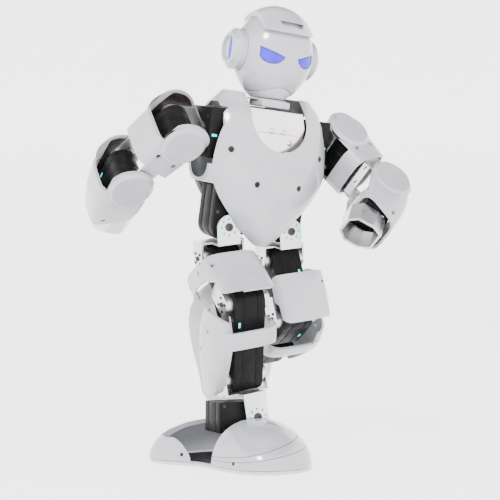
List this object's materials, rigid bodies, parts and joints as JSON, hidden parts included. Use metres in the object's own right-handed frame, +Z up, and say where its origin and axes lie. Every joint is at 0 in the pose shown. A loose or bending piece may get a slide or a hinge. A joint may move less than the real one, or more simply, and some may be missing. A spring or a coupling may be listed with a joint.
{
  "type": "humanoid robot kit",
  "caption": "Desktop humanoid robot of servo modules in sheet-metal brackets with glossy white shells, standing on one foot in a stride.",
  "frame": {"origin": "on the floor, under the middle of the robot's bounding box in its stored pose", "axes": "+Z up; the robot faces -Y and its left side is +X"},
  "size_m": [0.247, 0.2198, 0.3686],
  "materials": {
    "white_shell": "moulded, glossy white",
    "black_plastic": "satin black",
    "silver_metal": "bent sheet, bead blasted",
    "smoke_plastic": "metallic lacquer",
    "violet_light": "lit lens",
    "board_green": "lacquered circuit board"
  },
  "bodies": {
    "torso": {"chest_cover": "white_shell", "back_cover": "white_shell", "inner_chest_plate": "smoke_plastic", "torso_frame": "silver_metal", "battery_pack": "black_plastic", "control_board": "board_green", "speaker": "black_plastic", "neck_bracket": "white_shell", "right_hip_roll_servo": "black_plastic", "right_shoulder_pitch_servo": "black_plastic", "left_hip_roll_servo": "black_plastic", "left_shoulder_pitch_servo": "black_plastic", "head_front": "white_shell", "head_rear": "white_shell", "right_eye_lens": "violet_light", "right_ear_disc": "white_shell", "left_eye_lens": "violet_light", "left_ear_disc": "white_shell", "brow_cap": "white_shell"},
    "right_hip": {"right_hip_bracket": "silver_metal"},
    "right_thigh": {"right_hip_pitch_servo": "black_plastic", "right_thigh_bracket": "silver_metal", "right_thigh_cover": "white_shell"},
    "right_shin": {"right_knee_servo": "black_plastic", "right_ankle_pitch_servo": "black_plastic", "right_shin_cover": "white_shell"},
    "right_ankle": {"right_ankle_bracket": "silver_metal"},
    "right_foot": {"right_ankle_roll_servo": "black_plastic", "right_foot_sole": "black_plastic", "right_foot_cover": "white_shell"},
    "right_shoulder": {"right_shoulder_bracket": "silver_metal"},
    "right_upper_arm": {"right_shoulder_roll_servo": "black_plastic", "right_upper_arm_cover": "white_shell", "right_elbow_bracket": "silver_metal"},
    "right_forearm": {"right_elbow_servo": "black_plastic", "right_forearm_cover": "white_shell", "right_hand": "silver_metal"},
    "left_hip": {"left_hip_bracket": "silver_metal"},
    "left_thigh": {"left_hip_pitch_servo": "black_plastic", "left_thigh_bracket": "silver_metal", "left_thigh_cover": "white_shell"},
    "left_shin": {"left_knee_servo": "black_plastic", "left_ankle_pitch_servo": "black_plastic", "left_shin_cover": "white_shell"},
    "left_ankle": {"left_ankle_bracket": "silver_metal"},
    "left_foot": {"left_ankle_roll_servo": "black_plastic", "left_foot_sole": "black_plastic", "left_foot_cover": "white_shell"},
    "left_shoulder": {"left_shoulder_bracket": "silver_metal"},
    "left_upper_arm": {"left_shoulder_roll_servo": "black_plastic", "left_upper_arm_cover": "white_shell", "left_elbow_bracket": "silver_metal"},
    "left_forearm": {"left_elbow_servo": "black_plastic", "left_forearm_cover": "white_shell", "left_hand": "silver_metal"},
    "button": {"power_button": "black_plastic"}
  },
  "joints": [
    {"name": "right_hip_roll", "type": "hinge", "parent": "torso", "child": "right_hip", "pos_m": [-0.02698, -0.0289, 0.19364], "axis": [-0.0378, 0.9703, 0.2389], "range_deg": [-2, 30]},
    {"name": "right_hip_pitch", "type": "hinge", "parent": "right_hip", "child": "right_thigh", "pos_m": [-0.02288, -0.02237, 0.16776], "axis": [0.9877, 0, 0.1564], "range_deg": [-12, 18]},
    {"name": "right_knee", "type": "hinge", "parent": "right_thigh", "child": "right_shin", "pos_m": [-0.01689, -0.05451, 0.12993], "axis": [0.9877, 0, 0.1564], "range_deg": [-60, 20]},
    {"name": "right_ankle_pitch", "type": "hinge", "parent": "right_shin", "child": "right_ankle", "pos_m": [-0.00733, -0.03227, 0.06961], "axis": [0.9877, 0, 0.1564], "range_deg": [-25, 28]},
    {"name": "right_ankle_roll", "type": "hinge", "parent": "right_ankle", "child": "right_foot", "pos_m": [-0.00233, -0.03227, 0.038], "axis": [0, 1, 0], "range_deg": [-21, 1]},
    {"name": "right_shoulder_pitch", "type": "hinge", "parent": "torso", "child": "right_shoulder", "pos_m": [-0.07282, -0.04829, 0.26511], "axis": [0.999, 0.042, -0.0124], "range_deg": [-137, 53]},
    {"name": "right_shoulder_roll", "type": "hinge", "parent": "right_shoulder", "child": "right_upper_arm", "pos_m": [-0.07282, -0.04829, 0.26511], "axis": [-0.017, 0.6315, 0.7752], "range_deg": [-26, 67]},
    {"name": "right_elbow", "type": "hinge", "parent": "right_upper_arm", "child": "right_forearm", "pos_m": [-0.10159, -0.01045, 0.23365], "axis": [-0.017, 0.6315, 0.7752], "range_deg": [-55, 45]},
    {"name": "left_hip_roll", "type": "hinge", "parent": "torso", "child": "left_hip", "pos_m": [0.03197, -0.02642, 0.19291], "axis": [-0.0378, 0.9703, 0.2389], "range_deg": [-16, 5]},
    {"name": "left_hip_pitch", "type": "hinge", "parent": "left_hip", "child": "left_thigh", "pos_m": [0.0356, -0.01989, 0.16697], "axis": [0.9902, 0.0042, 0.1397], "range_deg": [-12, 36]},
    {"name": "left_knee", "type": "hinge", "parent": "left_thigh", "child": "left_shin", "pos_m": [0.04251, -0.02857, 0.11821], "axis": [0.9902, 0.0042, 0.1397], "range_deg": [-17, 28]},
    {"name": "left_ankle_pitch", "type": "hinge", "parent": "left_shin", "child": "left_ankle", "pos_m": [0.04654, 0.02882, 0.08796], "axis": [0.9902, 0.0042, 0.1397], "range_deg": [-38, 7]},
    {"name": "left_ankle_roll", "type": "hinge", "parent": "left_ankle", "child": "left_foot", "pos_m": [0.04563, 0.06033, 0.09344], "axis": [-0.1368, -0.1736, 0.9753], "range_deg": [-8, 12]},
    {"name": "left_shoulder_pitch", "type": "hinge", "parent": "torso", "child": "left_shoulder", "pos_m": [0.08103, -0.04182, 0.2632], "axis": [0.999, 0.042, -0.0124], "range_deg": [-52, 14]},
    {"name": "left_shoulder_roll", "type": "hinge", "parent": "left_shoulder", "child": "left_upper_arm", "pos_m": [0.08103, -0.04182, 0.2632], "axis": [-0.0417, 0.8263, -0.5617], "range_deg": [-73, 8]},
    {"name": "left_elbow", "type": "hinge", "parent": "left_upper_arm", "child": "left_forearm", "pos_m": [0.10307, -0.0706, 0.21922], "axis": [-0.0417, 0.8263, -0.5617], "range_deg": [-76, 10]},
    {"name": "power_button_press", "type": "slide", "parent": "torso", "child": "button", "axis": [0.0378, -0.9703, -0.2389], "range_m": [0, 0.0015], "stiffness_N_per_m": 900, "springref_m": -0.0003}
  ]
}
